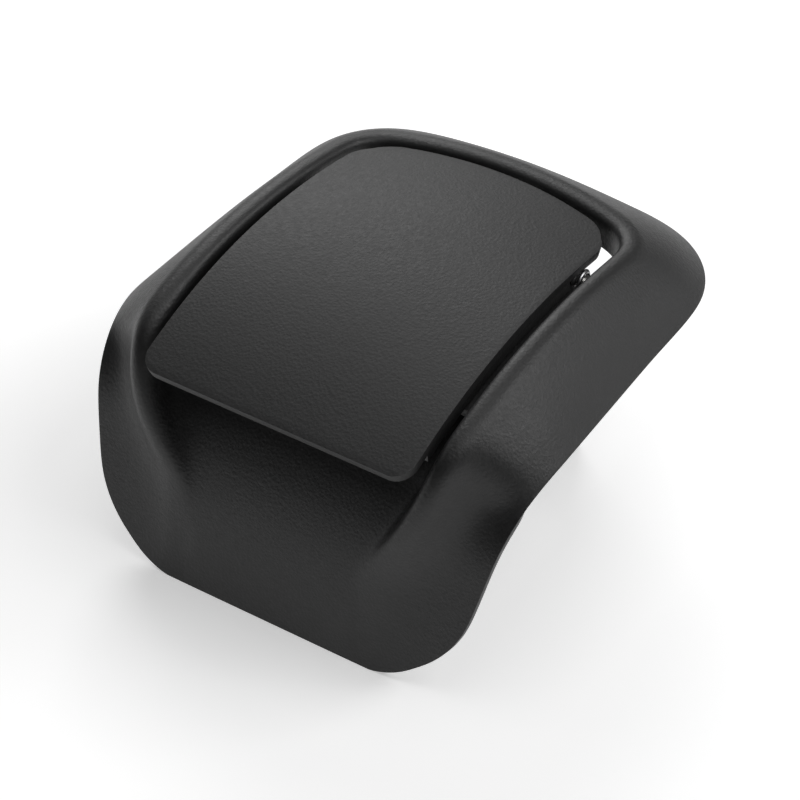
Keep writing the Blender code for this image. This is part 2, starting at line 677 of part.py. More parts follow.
def build_housing(plastic, home, tools, root):
    """The housing, with the frame under it that carries the pin, the legs and the cable's bracket."""
    housing = mirrored(add_mesh("housing", skin_cage(), Vector((0, 0, 0)), home, root))
    housing.data.materials.append(plastic)
    smoothing = housing.modifiers.new("smoothing", "SUBSURF")
    smoothing.levels = 1
    smoothing.render_levels = 1
    housing.vertex_groups.new(name="wall_share")
    thickened(housing, SKIN)
    housing.modifiers["wall"].vertex_group = "wall_share"

    shop = Workshop(tools, root)
    reach = 2 * RIM_HALF_WIDTH
    foot = shop.box("foot_trim", (-reach, -BEND_RADIUS, -BEND_RADIUS), (reach, 2 * BEND_RADIUS, FOOT_TRIM))
    joined(housing, foot, "DIFFERENCE")
    ledge = shop.bar("flap_ledge", LEDGE_FRONT, LEDGE_REAR, 8, ledge_section)
    joined(housing, mirrored(ledge), "UNION")
    for y in GUSSET_PLACES:
        half = GUSSET_WIDTH / 2
        gusset = shop.plate(f"gusset_{round(y * 1000)}", gusset_outline(y), y - half, y + half, "y")
        joined(housing, mirrored(gusset), "UNION")

    outer = SIDE_PLATE_X + SIDE_PLATE_WIDTH
    beam_middle = (BEAM_LOW + BEAM_TOP) / 2
    side_low = (SIDE_PLATE_X, BEAM_FRONT, beam_middle)
    side = shop.box("side_plate", side_low, (outer, SIDE_PLATE_REAR, SIDE_PLATE_TOP))
    joined(housing, mirrored(side), "UNION")
    beam_end = SIDE_PLATE_X + SIDE_PLATE_WIDTH * 0.9
    beam = shop.box("cross_beam", (-beam_end, BEAM_FRONT - FIT, BEAM_LOW), (beam_end, BEAM_REAR, BEAM_TOP))
    joined(housing, beam, "UNION")
    notch_low = (-ARM_NOTCH_HALF, BEAM_FRONT - SKIN, BEAM_LOW - SKIN)
    notch = shop.box("arm_notch", notch_low, (ARM_NOTCH_HALF, ARM_NOTCH_REAR, BEAM_TOP + SKIN))
    joined(housing, notch, "DIFFERENCE")

    centre = hinge_centre()
    outline = [(BEAM_FRONT, beam_middle)]
    outline += arc(centre, LUG_RADIUS, 180, 0, 12)
    outline += [(BEAM_REAR - SKIN / 2, beam_middle)]
    joined(housing, mirrored(shop.plate("pin_lug", outline, LUG_X, LUG_X + LUG_WIDTH, "x")), "UNION")
    past = LUG_X + 2 * LUG_WIDTH
    joined(housing, shop.rod("pin_cradle", centre, PIN_RADIUS + FIT, -past, past), "DIFFERENCE")
    slot_low = (-past, HINGE_Y - LUG_SLOT / 2, centre[1])
    slot_high = (past, HINGE_Y + LUG_SLOT / 2, centre[1] + 2 * LUG_RADIUS)
    joined(housing, shop.box("cradle_mouth", slot_low, slot_high), "DIFFERENCE")

    leg_rear = BEAM_REAR - FIT
    leg = shop.box("leg", (LEG_INNER_X, LEG_FRONT, FOOT_TRIM), (LEG_OUTER_X, leg_rear, beam_middle))
    joined(housing, mirrored(leg), "UNION")
    channel_low = (LEG_INNER_X + LEG_WALL, LEG_FRONT + LEG_WALL, CHANNEL_LOW)
    channel = shop.box("leg_channel", channel_low, (LEG_OUTER_X - LEG_WALL, BEAM_REAR + LEG_WALL, CHANNEL_TOP))
    joined(housing, mirrored(channel), "DIFFERENCE")
    inside = LEG_FRONT + LEG_WALL / 2
    outline = [(inside, CATCH_LOW), (LEG_FRONT, CATCH_LOW), (LEG_FRONT - CATCH_REACH, CATCH_TOP), (inside, CATCH_TOP)]
    catch = shop.plate("leg_catch", outline, LEG_INNER_X + LEG_WALL, LEG_OUTER_X - LEG_WALL, "x")
    joined(housing, mirrored(catch), "UNION")

    seat_low = (-SEAT_HALF_WIDTH, SEAT_FRONT, SEAT_LOW)
    seat = shop.box("bracket_seat", seat_low, (SEAT_HALF_WIDTH, SEAT_FRONT + SEAT_WALL, beam_middle))
    joined(housing, seat, "UNION")
    line = cable_height()
    outline = [(-SEAT_SLOT_HALF, SEAT_LOW - SKIN), (SEAT_SLOT_HALF, SEAT_LOW - SKIN)]
    outline += arc((0, line), SEAT_SLOT_HALF, 0, 180, 12)
    rear = SEAT_FRONT + SEAT_WALL + SKIN
    joined(housing, shop.plate("seat_slot", outline, SEAT_FRONT - SKIN, rear, "y"), "DIFFERENCE")
    return housing


def build_pin(steel, home, root):
    """The hinge pin, turned about X: its head is at the left."""
    centre = hinge_centre()
    head_inner = KNUCKLE_X + KNUCKLE_WIDTH + FIT
    head_outer = head_inner + PIN_HEAD_LENGTH
    neck = PIN_RADIUS - PIN_CHAMFER
    crown = PIN_HEAD_RADIUS - PIN_CHAMFER
    profile = [(0, PIN_END_X), (neck, PIN_END_X), (PIN_RADIUS, PIN_END_X - PIN_CHAMFER), (PIN_RADIUS, -head_inner)]
    profile += [(PIN_HEAD_RADIUS, -head_inner), (PIN_HEAD_RADIUS, PIN_CHAMFER - head_outer)]
    profile += [(crown, -head_outer), (0, -head_outer)]
    mesh = bpy.data.meshes.new("hinge_pin")
    edges = [(i, i + 1) for i in range(len(profile) - 1)]
    mesh.from_pydata([(out, 0, along) for out, along in profile], edges, [])
    pin = bpy.data.objects.new("hinge_pin", mesh)
    pin.location = (0, centre[0], centre[1])
    pin.rotation_euler = (0, math.pi / 2, 0)
    pin.parent = root
    home.objects.link(pin)
    mesh.materials.append(steel)
    turning = pin.modifiers.new("turning", "SCREW")
    turning.steps = 24
    turning.render_steps = 24
    turning.use_merge_vertices = True
    turning.merge_threshold = 0.00001
    return pin


def tangent_turn(centre, radius, end, side):
    """Angle on a circle at which a straight leg to a given end leaves it."""
    reach = math.hypot(end[0] - centre[0], end[1] - centre[1])
    return math.atan2(end[1] - centre[1], end[0] - centre[0]) + side * math.acos(radius / reach)


def build_spring(steel, home, root):
    """The return spring: a torsion coil on the pin, with one leg under the flap and one on the beam."""
    centre = hinge_centre()
    flap_y = HINGE_Y + SPRING_FLAP_REACH
    flap_end = (flap_y, flap_underside(COIL_X, flap_y) - FIT - WIRE_RADIUS * 1.1)
    beam_end = (HINGE_Y + SPRING_BEAM_REACH, BEAM_TOP + FIT + WIRE_RADIUS * 1.3)
    start = tangent_turn(centre, COIL_RADIUS, flap_end, 1)
    end = tangent_turn(centre, COIL_RADIUS, beam_end, -1) + 2 * math.pi * (COIL_TURNS + 1)
    steps = 20 * COIL_TURNS + 8
    points = [(COIL_X, *flap_end)]
    for step in range(steps + 1):
        turn = start + (end - start) * step / steps
        along = COIL_X + COIL_PITCH * (turn - start) / (2 * math.pi)
        y = centre[0] + COIL_RADIUS * math.cos(turn)
        points.append((along, y, centre[1] + COIL_RADIUS * math.sin(turn)))
    points.append((points[-1][0], *beam_end))
    curve = bpy.data.curves.new("return_spring", "CURVE")
    curve.dimensions = "3D"
    curve.bevel_depth = WIRE_RADIUS
    curve.bevel_resolution = 2
    curve.use_fill_caps = True
    line = curve.splines.new("POLY")
    line.points.add(len(points) - 1)
    for point, (x, y, z) in zip(line.points, points):
        point.co = (x, y - centre[0], z - centre[1], 1)
    drawn = bpy.data.objects.new("spring_line", curve)
    home.objects.link(drawn)
    bpy.context.view_layer.update()
    wire = bpy.data.meshes.new_from_object(drawn.evaluated_get(bpy.context.evaluated_depsgraph_get()))
    bpy.data.objects.remove(drawn)
    bpy.data.curves.remove(curve)
    built = bmesh.new()
    built.from_mesh(wire)
    bpy.data.meshes.remove(wire)
    bmesh.ops.remove_doubles(built, verts=built.verts, dist=0.00001)
    bmesh.ops.recalc_face_normals(built, faces=built.faces)
    spring = add_mesh("return_spring", built, Vector((0, 0, 0)), home, root)
    spring.location = (0, centre[0], centre[1])
    spring.data.materials.append(steel)
    return spring


def material(name, colour, roughness, metallic):
    """A plain Principled material."""
    made = bpy.data.materials.new(name)
    made.use_nodes = True
    shader = made.node_tree.nodes["Principled BSDF"]
    shader.inputs["Base Color"].default_value = (*colour, 1)
    shader.inputs["Roughness"].default_value = roughness
    shader.inputs["Metallic"].default_value = metallic
    return made


def centre_on_base(parts, root):
    """Moves the whole handle so that the middle of its base is at the origin."""
    bpy.context.view_layer.update()
    depsgraph = bpy.context.evaluated_depsgraph_get()
    places = []
    for part in parts:
        shown = part.evaluated_get(depsgraph)
        places += [shown.matrix_world @ vertex.co for vertex in shown.data.vertices]
    rear = max(place.y for place in places)
    front = min(place.y for place in places)
    root.location = (0, -(front + rear) / 2, -min(place.z for place in places))


def main():
    """Builds the whole handle."""
    for old in list(bpy.data.objects):
        bpy.data.objects.remove(old)
    home = bpy.data.collections.new("seat_tilt_handle")
    tools = bpy.data.collections.new("cutters")
    bpy.context.scene.collection.children.link(home)
    bpy.context.scene.collection.children.link(tools)
    tools.hide_render = True
    root = bpy.data.objects.new("handle_root", None)
    home.objects.link(root)
    housing_plastic = material("housing_plastic", (0.014, 0.014, 0.0142), 0.5, 0)
    flap_plastic = material("flap_plastic", (0.017, 0.017, 0.0172), 0.55, 0)
    pin_steel = material("pin_steel", (0.52, 0.52, 0.51), 0.35, 1)
    spring_steel = material("spring_steel", (0.42, 0.42, 0.43), 0.3, 1)
    parts = [
        build_housing(housing_plastic, home, tools, root),
        build_flap(flap_plastic, home, tools, root),
        build_pin(pin_steel, home, root),
        build_spring(spring_steel, home, root),
    ]
    centre_on_base(parts, root)


main()
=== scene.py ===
"""Looks of the seat tilt handle: fine skins over the solids, plastic and steel, floor, light and camera."""

import math

import bmesh
import bpy
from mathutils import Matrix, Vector
from mathutils.bvhtree import BVHTree


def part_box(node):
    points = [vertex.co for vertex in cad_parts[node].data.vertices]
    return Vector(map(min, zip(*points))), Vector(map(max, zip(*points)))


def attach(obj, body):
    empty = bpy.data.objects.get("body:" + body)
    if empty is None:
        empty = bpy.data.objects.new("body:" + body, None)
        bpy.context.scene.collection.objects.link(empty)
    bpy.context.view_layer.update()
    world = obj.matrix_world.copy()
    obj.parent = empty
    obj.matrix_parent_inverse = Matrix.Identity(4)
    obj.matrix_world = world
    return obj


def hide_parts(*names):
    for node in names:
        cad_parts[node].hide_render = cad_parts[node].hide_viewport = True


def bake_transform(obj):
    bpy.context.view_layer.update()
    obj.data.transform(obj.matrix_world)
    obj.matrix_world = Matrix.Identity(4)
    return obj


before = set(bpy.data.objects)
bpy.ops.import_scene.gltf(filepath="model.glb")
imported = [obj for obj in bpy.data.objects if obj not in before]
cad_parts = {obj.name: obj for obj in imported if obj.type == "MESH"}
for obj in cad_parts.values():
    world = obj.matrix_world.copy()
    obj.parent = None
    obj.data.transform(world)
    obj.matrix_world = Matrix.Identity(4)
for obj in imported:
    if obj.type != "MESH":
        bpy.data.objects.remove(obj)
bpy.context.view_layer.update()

# Shape of the mouldings, in metres, as on the solids: X across, +Y back from the lip's foot, Z up

# Flap
FLAP_HALF_WIDTH = 0.0300
FLAP_TAPER = 0.00104
FLAP_REAR_HALF_WIDTH = FLAP_HALF_WIDTH - FLAP_TAPER
FLAP_FREE_Y = 0.00288
FLAP_HINGE_Y = 0.08584
FLAP_HINGE_RADIUS = 0.0832
FLAP_WALL = 0.00208
FLAP_ARCH_RADIUS = 0.1220
FLAP_CREST_Y = 0.05136
FLAP_CREST_Z = 0.05944
FLAP_CROWN = 0.00216
FLAP_SIDE_BULGE = 0.00032
FLAP_FREE_CORNER = 0.0040
FLAP_HINGE_CORNER = 0.00744
FLAP_EDGE_ROUND = 0.00088
SLOPE_STEP = 0.0004

# Spine of the housing: the side view of its rim, from the foot of the front lip to the back
LIP_LENGTH = 0.03064
LIP_ANGLE = math.radians(74)
BEND_RADIUS = 0.0200
BACK_ANGLE = math.radians(-1.5)

# Plan of the rim
FLANK_REACH = 0.01888
RIM_HALF_WIDTH = FLAP_HALF_WIDTH + FLANK_REACH
LIP_NARROWING = 0.01008
LIP_FOOT_HALF_WIDTH = RIM_HALF_WIDTH - LIP_NARROWING
LIP_FLARE_LENGTH = 0.0552
LIP_FLARE_POWER = 1.15
RIM_TAPER = 0.0020
RIM_TAPER_START = 0.0480
LIP_CORNER_RADIUS = 0.01776
RIM_CORNER_RADIUS = 0.0244
RIM_REAR_Y = 0.10584
RIM_REAR_RADIUS = 0.2280

# Skin of the housing
SKIN = 0.00144
FLAP_GAP = 0.00208
EDGE_RISE = 0.00032
EDGE_WIDTH = 0.00368
WELL_DEPTH = 0.00696
ROLL_SHARE = 0.5
FOOT_TRIM = 0.00024

# Finger scoop and shoulders, as distances along the spine
SCOOP_FOOT = 0.0176
SCOOP_NARROWING = 0.0092
SCOOP_FOOT_HALF_WIDTH = FLAP_HALF_WIDTH - SCOOP_NARROWING
SCOOP_WALL_DRAFT = 0.0032
SCOOP_BACK = 0.0564
RIDGE_FRONT = 0.0464
RIDGE_END = 0.0464
SHOULDER_FRONT = 0.0416
SHOULDER_BACK = 0.0476
SHOULDER_HOLLOW = 3.4
BACK_HOLLOW = 0.87
LIP_CROWN = 0.00208

# Passes that settle the ridge's height over the flap's face
HEIGHT_PASSES = 8
# Share of the full ridge height that the ridge has reached at each share of the way to its end
RIDGE_RISE = ((0, 0), (0.25, 0.08), (0.48, 0.22), (0.69, 0.44), (0.79, 0.62), (0.86, 0.78), (0.92, 0.92), (1, 1))
# Height of the scoop's floor, as a share of the lip's crown, at each share of the way to the scoop's back
FLOOR_RISE = ((0, 0), (0.15, 0.6), (0.3, 0.95), (0.4, 1), (0.5, 0.8), (0.6, 0.35), (0.72, 0.2), (0.8, 0.7))
# How steeply the floor rises to the ledge at the end of that
LEDGE_RISE_POWER = 1.5

# Sections of the housing's cage: places along the spine in millimetres, then how many go round the hinge end
SIDE_STATIONS = (
    0, 4, 9.6, 16, 21.6, 26.4, 30.8, 34.4, 37.6, 40.4,
    43.2, 45.6, 48.4, 52, 56.4, 63.2, 73.6, 84.8, 95.2,
)
STATION_UNIT = 0.001
CORNER_STATIONS = 4
REAR_STATIONS = 3
# Points across each section: shares of the way from the rim to the rolled edge, the edge itself, and the panel
FLANK_SHARES = (0, 0.3, 0.6, 0.85)
ROLL_COLUMNS = (len(FLANK_SHARES), len(FLANK_SHARES) + 1)
PANEL_COLUMNS = 3

# Clearance between pieces that lie on each other
FIT = 0.0003

# Hinge under the rear of the flap
HINGE_Y = 0.0680
HINGE_DROP = 0.0072
PIN_RADIUS = 0.0016
PIN_REACH = 0.00064
PIN_END_X = FLAP_HALF_WIDTH + PIN_REACH
PIN_HEAD_RADIUS = 0.00272
PIN_HEAD_LENGTH = 0.00096
PIN_CHAMFER = 0.00032
KNUCKLE_WIDTH = 0.0028
KNUCKLE_INSET = 0.00736
KNUCKLE_X = FLAP_HALF_WIDTH - KNUCKLE_INSET

# Return spring, at the right end of the pin
WIRE_RADIUS = 0.00048
COIL_RADIUS = 0.00244
COIL_PITCH = 0.0012
COIL_TURNS = 2
COIL_GAP = 0.00096
COIL_X = KNUCKLE_X + KNUCKLE_WIDTH + COIL_GAP
SPRING_FLAP_REACH = 0.0096
SPRING_BEAM_REACH = 0.0072
# Distance of each leg's end from what it lies on, in wire radii
SPRING_FLAP_LIFT = 1.1
SPRING_BEAM_LIFT = 1.3

# Cross beam that the spring's held leg lies on
BEAM_TOP = 0.0396

# How the fine pieces are made
FINE_LEVELS = 3
RIM_ROUND = 0.0004
RIM_SEGMENTS = 3
FLAP_EDGE_SEGMENTS = 4
SHARP_TURN = math.radians(50)
FINE_COLUMNS = 25
FINE_ROWS = 49
PIN_STEPS = 64
COIL_STEPS = 48
WIRE_RESOLUTION = 4
MIDDLE_WELD = 0.00004
WELD = 0.00001

# What is moulded inside a skin: what lies this near the skin takes root in its wall
SKIN_REACH = 0.0006
SURFACE_START = SKIN / 20
FLAT_TURN = math.radians(0.5)

# Plastic: its colours, and its flow marks and grain, each noise with waves per metre, detail and roughness
HOUSING_COLOUR = (0.014, 0.014, 0.0142)
HOUSING_ROUGHNESS = 0.5
FLAP_COLOUR = (0.017, 0.017, 0.0172)
FLAP_ROUGHNESS = 0.55
FLOW_NOISE = (48.0, 3.0, 0.55)
SPECK_NOISE = (1000.0, 2.0, 0.6)
FINE_NOISE = (2600.0, 2.0, 0.7)
PIT_SCALE = 1500.0
FLOW_REACH = 0.25
SPECK_RANGE = (0.2, 0.8)
TONE_RANGE = (0.2, 0.8)
TONE_SHARES = (0.72, 1.28)
ROUGHNESS_REACH = 0.1
GRAIN_STRENGTH = 0.55
GRAIN_DEPTH = 0.00008

# Plastic's rubbed edges: how pointed they are, how far they show, and how much lighter and smoother they are
RUBBED_RANGE = (0.53, 0.62)
RUBBED_COVER = 0.5
RUBBED_SHARE = 2.2
RUBBED_LIFT = 0.01
RUBBED_POLISH = -0.08

# Steel: its colours, its drawing lines as waves per metre along each axis, and the film that dulls it
PIN_COLOUR = (0.58, 0.57, 0.55)
PIN_ROUGHNESS = 0.3
PIN_LINES = (40, 6000, 6000)
SPRING_COLOUR = (0.50, 0.50, 0.51)
SPRING_ROUGHNESS = 0.28
SPRING_LINES = (900, 900, 900)
LINE_NOISE = (1.0, 4.0, 0.6)
FILM_NOISE = (420.0, 3.0, 0.5)
FILM_RANGE = (0.35, 0.65)
FILM_SHARE = 0.7
LINE_ROUGHNESS = (-0.12, 0.15)
LINE_STRENGTH = 0.2
LINE_DEPTH = 0.00003

# Studio: each lamp's name, place, width and power
AMBIENT = 0.05
FLOOR_COLOUR = (0.94, 0.94, 0.94, 1)
FLOOR_ROUGHNESS = 0.9
FLOOR_SPECULAR = 0.1
FLOOR_LIFT = 0.42
FLOOR_SIZE = 6
LAMP_AIM = (0, 0, 0.04)
LAMPS = (
    ("behind_left", (-0.8, 0.9, 0.8), 0.8, 8.5),
    ("behind_right", (0.9, 0.7, 0.75), 0.6, 5.5),
    ("above", (0.0, 0.1, 1.4), 0.8, 3.0),
    ("above_right", (0.7, 0.2, 1.1), 0.6, 3.5),
    ("left", (-1.2, -0.1, 0.5), 0.6, 0.7),
)

# Camera: the photograph's viewing angle
VIEW_AZIMUTH = math.radians(33.26)
VIEW_ELEVATION = math.radians(40.2)
VIEW_DISTANCE = 0.616
VIEW_CENTRE = Vector((0, 0.044, 0.036))
VIEW_AIM = (0.00192, -0.00824)
VIEW_LENS = 142
VIEW_SENSOR = 36
VIEW_CLIP = 0.01


def smooth(share):
    """Eases from 0 to 1."""
    share = min(max(share, 0.0), 1.0)
    return share * share * (3 - 2 * share)


def keyed(share, keys):
    """Reads a curve that is given by a few points, straight between them."""
    for (left, low), (right, high) in zip(keys, keys[1:]):
        if share <= right:
            return low + (high - low) * (share - left) / (right - left)
    return keys[-1][1]


def spine(s):
    """Place and slope of the rim's side view at a distance s from the foot of the lip: y, z, angle."""
    straight = min(s, LIP_LENGTH)
    y = straight * math.cos(LIP_ANGLE)
    z = straight * math.sin(LIP_ANGLE)
    bend = min(max(s - LIP_LENGTH, 0.0) / BEND_RADIUS, LIP_ANGLE - BACK_ANGLE)
    angle = LIP_ANGLE - bend
    y += BEND_RADIUS * (math.sin(LIP_ANGLE) - math.sin(angle))
    z += BEND_RADIUS * (math.cos(angle) - math.cos(LIP_ANGLE))
    rest = max(s - LIP_LENGTH - BEND_RADIUS * (LIP_ANGLE - BACK_ANGLE), 0.0)
    return y + rest * math.cos(BACK_ANGLE), z + rest * math.sin(BACK_ANGLE), angle


def rim_height(y):
    """Height of the rim at a place y on its flat back part."""
    bend_end = LIP_LENGTH + BEND_RADIUS * (LIP_ANGLE - BACK_ANGLE)
    start_y, start_z, angle = spine(bend_end)
    return start_z + (y - start_y) * math.tan(angle)


def flap_top(x, y):
    """Height of the flap's upper face."""
    reach = y - FLAP_CREST_Y
    arch = FLAP_CREST_Z - FLAP_ARCH_RADIUS + math.sqrt(FLAP_ARCH_RADIUS**2 - reach**2)
    along = smooth((y - FLAP_FREE_Y) / (FLAP_HINGE_Y - FLAP_FREE_Y))
    return arch - FLAP_CROWN * along * (x / FLAP_HALF_WIDTH) ** 2


def rim_half_width(s):
    """Half width of the rim at a distance s along the spine."""
    left = max(1 - s / LIP_FLARE_LENGTH, 0.0)
    taper = RIM_TAPER * max(s / RIM_TAPER_START - 1, 0.0)
    return RIM_HALF_WIDTH - taper - (RIM_HALF_WIDTH - LIP_FOOT_HALF_WIDTH) * left**LIP_FLARE_POWER


def rear_corner(half_width, corner_radius, rear_y, rear_radius):
    """Where a plan outline's rear corner starts, and the angle that it turns through."""
    reach = rear_radius - corner_radius
    corner_x = half_width - corner_radius
    return rear_y - rear_radius + math.sqrt(reach**2 - corner_x**2), math.acos(corner_x / reach)


def flap_half_width(y):
    """Half width of the flap at a place y: its sides close in towards the hinge, and bulge a little on the way."""
    corner_y, _ = rear_corner(FLAP_REAR_HALF_WIDTH, FLAP_HINGE_CORNER, FLAP_HINGE_Y, FLAP_HINGE_RADIUS)
    share = min(max((y - FLAP_FREE_Y) / (corner_y - FLAP_FREE_Y), 0.0), 1.0)
    return FLAP_HALF_WIDTH - FLAP_TAPER * share + FLAP_SIDE_BULGE * math.sin(math.pi * share)


def opening_x(y):
    """Half width of the opening that the flap closes."""
    return flap_half_width(y) + FLAP_GAP


def ridge_x(s):
    """Inner face of the ridge beside the flap, which closes in down the lip as the scoop's side."""
    y, _, _ = spine(s)
    share = smooth((s - SCOOP_FOOT) / (RIDGE_FRONT - SCOOP_FOOT))
    return SCOOP_FOOT_HALF_WIDTH + (opening_x(y) - SCOOP_FOOT_HALF_WIDTH) * share


def height_at_flap(s, rise):
    """Height over the spine at which the ridge stands a given rise above the flap's face."""
    y, z, angle = spine(s)
    height = FLAP_CREST_Z - z
    for _ in range(HEIGHT_PASSES):
        target = flap_top(opening_x(y), y - math.sin(angle) * height) + rise
        height = (target - z) / math.cos(angle)
    return height


def ridge_height(s):
    """Height of the ridge over the spine."""
    if s >= RIDGE_END:
        return height_at_flap(s, EDGE_RISE)
    return height_at_flap(RIDGE_END, EDGE_RISE) * keyed(s / RIDGE_END, RIDGE_RISE)


def foot_height(s):
    """Height over the spine of the well wall's foot, which is the scoop's floor in front."""
    ledge = ridge_height(s) - WELL_DEPTH
    if s >= SCOOP_BACK:
        return ledge
    last_share = FLOOR_RISE[-1][0]
    share = s / SCOOP_BACK
    floor = LIP_CROWN * keyed(share, FLOOR_RISE)
    if share <= last_share:
        return floor
    return floor + (ledge - floor) * ((share - last_share) / (1 - last_share)) ** LEDGE_RISE_POWER


def hollow(s):
    """How hollow the flank is between ridge and rim: 1 is a straight slope, more sags and less bulges."""
    share = smooth((s - SHOULDER_FRONT) / (SHOULDER_BACK - SHOULDER_FRONT))
    return SHOULDER_HOLLOW + (BACK_HOLLOW - SHOULDER_HOLLOW) * share


def rounded_corner(p, q, radius):
    """Carries a point near a square corner to its place near a round one: p and q are its distances in."""
    if p >= radius or q >= radius:
        return p, q
    eighth = math.pi / 4

    def along(distance):
        turn = eighth * (1 + distance / radius)
        return radius * (1 - math.cos(turn)), radius * (1 - math.sin(turn))

    low_p, low_q = along(p)
    side_q, side_p = along(q)
    corner = radius * (1 - math.cos(eighth))
    near_p = 1 - p / radius
    near_q = 1 - q / radius
    moved_p = p + near_q * (low_p - p) + near_p * side_p - near_p * near_q * corner
    moved_q = q + near_q * low_q + near_p * (side_q - q) - near_p * near_q * corner
    return moved_p, moved_q


def side_station(s):
    """One section of the skin beside the flap, from the rim in to the foot of the well wall."""
    edge = rim_half_width(s)
    inner = ridge_x(s)
    outer = inner + EDGE_WIDTH
    top = ridge_height(s)
    foot = foot_height(s)
    draft = SCOOP_WALL_DRAFT * (1 - smooth((s - RIDGE_END) / (SCOOP_BACK - RIDGE_END)))
    profile = [(edge - share * (edge - outer), top * share ** hollow(s)) for share in FLANK_SHARES]
    profile += [(outer, top), (inner, top)]
    profile += [(inner - draft / 2, (top + foot) / 2), (inner - draft, foot)]
    return [skin_point(x, height, s) for x, height in profile]


def skin_point(x, height, s):
    """A point of the skin at a half width x and a height over the spine."""
    edge = rim_half_width(s)
    inset, along = rounded_corner(edge - x, s, LIP_CORNER_RADIUS)
    y, z, angle = spine(along)
    return Vector((edge - inset, y - math.sin(angle) * height, z + math.cos(angle) * height))


def rear_track(half_width, corner_radius, rear_y, rear_radius, share):
    """A point and outward direction on a plan outline, from the end of its side to the middle of its rear."""
    arc_y = rear_y - rear_radius
    corner_x = half_width - corner_radius
    corner_y, corner_turn = rear_corner(half_width, corner_radius, rear_y, rear_radius)
    corner_share = CORNER_STATIONS / (CORNER_STATIONS + REAR_STATIONS)
    if share <= corner_share:
        turn = corner_turn * share / corner_share
        outward = Vector((math.cos(turn), math.sin(turn), 0))
        return Vector((corner_x, corner_y, 0)) + corner_radius * outward, outward
    turn = corner_turn + (math.pi / 2 - corner_turn) * (share - corner_share) / (1 - corner_share)
    outward = Vector((math.cos(turn), math.sin(turn), 0))
    return Vector((0, arc_y, 0)) + rear_radius * outward, outward


def rear_station(share):
    """One section of the skin round the hinge end, from the rim in to the foot of the well wall."""
    flap_sizes = (FLAP_REAR_HALF_WIDTH, FLAP_HINGE_CORNER, FLAP_HINGE_Y, FLAP_HINGE_RADIUS)
    opening = [size + FLAP_GAP for size in flap_sizes]
    inner, outward = rear_track(*opening, share)
    edge, _ = rear_track(RIM_HALF_WIDTH - RIM_TAPER, RIM_CORNER_RADIUS, RIM_REAR_Y, RIM_REAR_RADIUS, share)
    outer = inner + EDGE_WIDTH * outward
    top = flap_top(inner.x, inner.y) + EDGE_RISE
    points = []
    for part in FLANK_SHARES:
        place = edge.lerp(outer, part)
        low = rim_height(place.y)
        points.append(Vector((place.x, place.y, low + (top - low) * part**BACK_HOLLOW)))
    points.append(Vector((outer.x, outer.y, top)))
    points += [Vector((inner.x, inner.y, top - drop)) for drop in (0, WELL_DEPTH / 2, WELL_DEPTH)]
    return points


def skin_cage():
    """Half of the housing's outer face, as a cage of sections, with the scoop's panel between its two sides."""
    stations = [side_station(s * STATION_UNIT) for s in SIDE_STATIONS]
    steps = CORNER_STATIONS + REAR_STATIONS
    stations += [rear_station(step / steps) for step in range(steps + 1)]
    cage = bmesh.new()
    shares = cage.verts.layers.deform.verify()
    rows = []
    for station in stations:
        row = [cage.verts.new(point) for point in station]
        for column, vertex in enumerate(row):
            vertex[shares][0] = ROLL_SHARE if column in ROLL_COLUMNS else 1
        rows.append(row)
    for row, following in zip(rows, rows[1:]):
        for column in range(len(row) - 1):
            cage.faces.new((row[column], following[column], following[column + 1], row[column + 1]))
    panel = []
    for row, s in zip(rows, SIDE_STATIONS):
        if s * STATION_UNIT > SCOOP_BACK + FIT:
            break
        foot = row[-1]
        line = [foot]
        for column in range(1, PANEL_COLUMNS + 1):
            place = foot.co.copy()
            place.x *= 1 - column / PANEL_COLUMNS
            inward = cage.verts.new(place)
            inward[shares][0] = 1
            line.append(inward)
        panel.append(line)
    for row, following in zip(panel, panel[1:]):
        for column in range(PANEL_COLUMNS):
            cage.faces.new((row[column], following[column], following[column + 1], row[column + 1]))
    bmesh.ops.recalc_face_normals(cage, faces=cage.faces)
    return cage


def flap_cage(columns, rows):
    """Half of the flap's upper face: a flat outline with round corners, lifted on to the arch."""
    cage = bmesh.new()
    grid = []
    for row in range(rows):
        line = []
        for column in range(columns):
            across = FLAP_HALF_WIDTH * column / (columns - 1)
            sagitta = FLAP_HINGE_RADIUS - math.sqrt(FLAP_HINGE_RADIUS**2 - across**2)
            length = FLAP_HINGE_Y - sagitta - FLAP_FREE_Y
            inset = FLAP_HALF_WIDTH - across
            ahead = length * row / (rows - 1)
            inset, ahead = rounded_corner(inset, ahead, FLAP_FREE_CORNER)
            inset, behind = rounded_corner(inset, length - ahead, FLAP_HINGE_CORNER)
            y = FLAP_FREE_Y + length - behind
            x = (FLAP_HALF_WIDTH - inset) * flap_half_width(y) / FLAP_HALF_WIDTH
            line.append(cage.verts.new((x, y, flap_top(x, y))))
        grid.append(line)
    for row, following in zip(grid, grid[1:]):
        for column in range(columns - 1):
            cage.faces.new((row[column], row[column + 1], following[column + 1], following[column]))
    return cage


def hinge_centre():
    """Where the pin's axis passes, as y and z."""
    return HINGE_Y, flap_top(0, HINGE_Y) - HINGE_DROP


def flap_underside(x, y):
    """Height of the flap's lower face."""
    rise = flap_top(x, y + SLOPE_STEP) - flap_top(x, y - SLOPE_STEP)
    slope = math.atan(rise / (2 * SLOPE_STEP))
    return flap_top(x, y) - FLAP_WALL / math.cos(slope)


def tangent_turn(centre, radius, end, side):
    """Angle on a circle at which a straight leg to a given end leaves it."""
    reach = math.hypot(end[0] - centre[0], end[1] - centre[1])
    return math.atan2(end[1] - centre[1], end[0] - centre[0]) + side * math.acos(radius / reach)


def place_of_shape():
    """How far the shape's own zero lies from the frame's: the pin is in both."""
    low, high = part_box("hinge_pin")
    centre = (low + high) / 2
    y, z = hinge_centre()
    return Vector((0, centre.y - y, centre.z - z))


